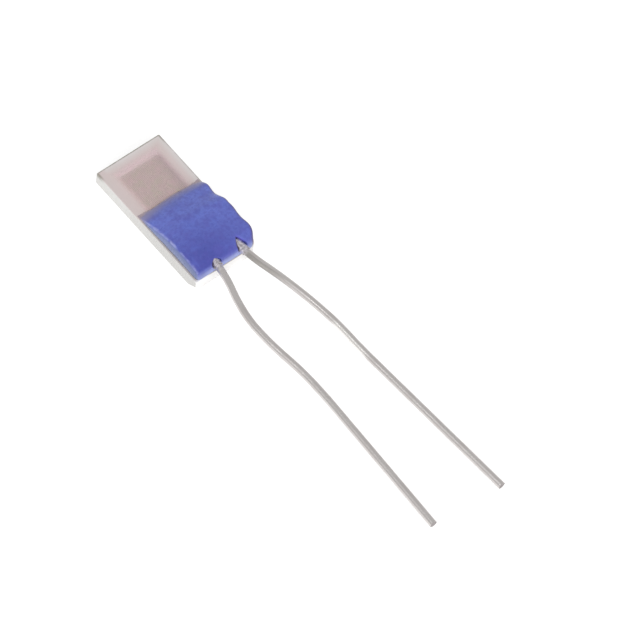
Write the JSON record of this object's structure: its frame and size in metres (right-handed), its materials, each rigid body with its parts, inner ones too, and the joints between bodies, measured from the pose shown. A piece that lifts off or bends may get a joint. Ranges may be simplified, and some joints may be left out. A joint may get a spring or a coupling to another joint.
{
  "type": "resistance temperature detector",
  "caption": "Thin-film platinum resistance temperature detector: flat ceramic chip with a glass-covered film, a blue glazed lead end and bent round wire leads.",
  "frame": {"origin": "centre of the ceramic plate's flat back face", "axes": "+Z towards the printed and glazed side, +Y towards the sensing end, leads leave towards -Y, +X to the right seen from above with the leads pointing down"},
  "size_m": [0.0027, 0.013, 0.0008],
  "materials": {
    "alumina": "matte",
    "platinum_film": "satin",
    "cover_glass": "gloss",
    "pad_metal": "matte",
    "lead_metal": "satin",
    "blue_glaze": "gloss"
  },
  "bodies": {
    "root": {"substrate": "alumina", "platinum_meander": "platinum_film", "glass_passivation": "cover_glass", "contact_pad_left": "pad_metal", "contact_pad_right": "pad_metal", "lead_wire_left": "lead_metal", "lead_wire_right": "lead_metal", "fixing_glaze": "blue_glaze"}
  },
  "joints": []
}
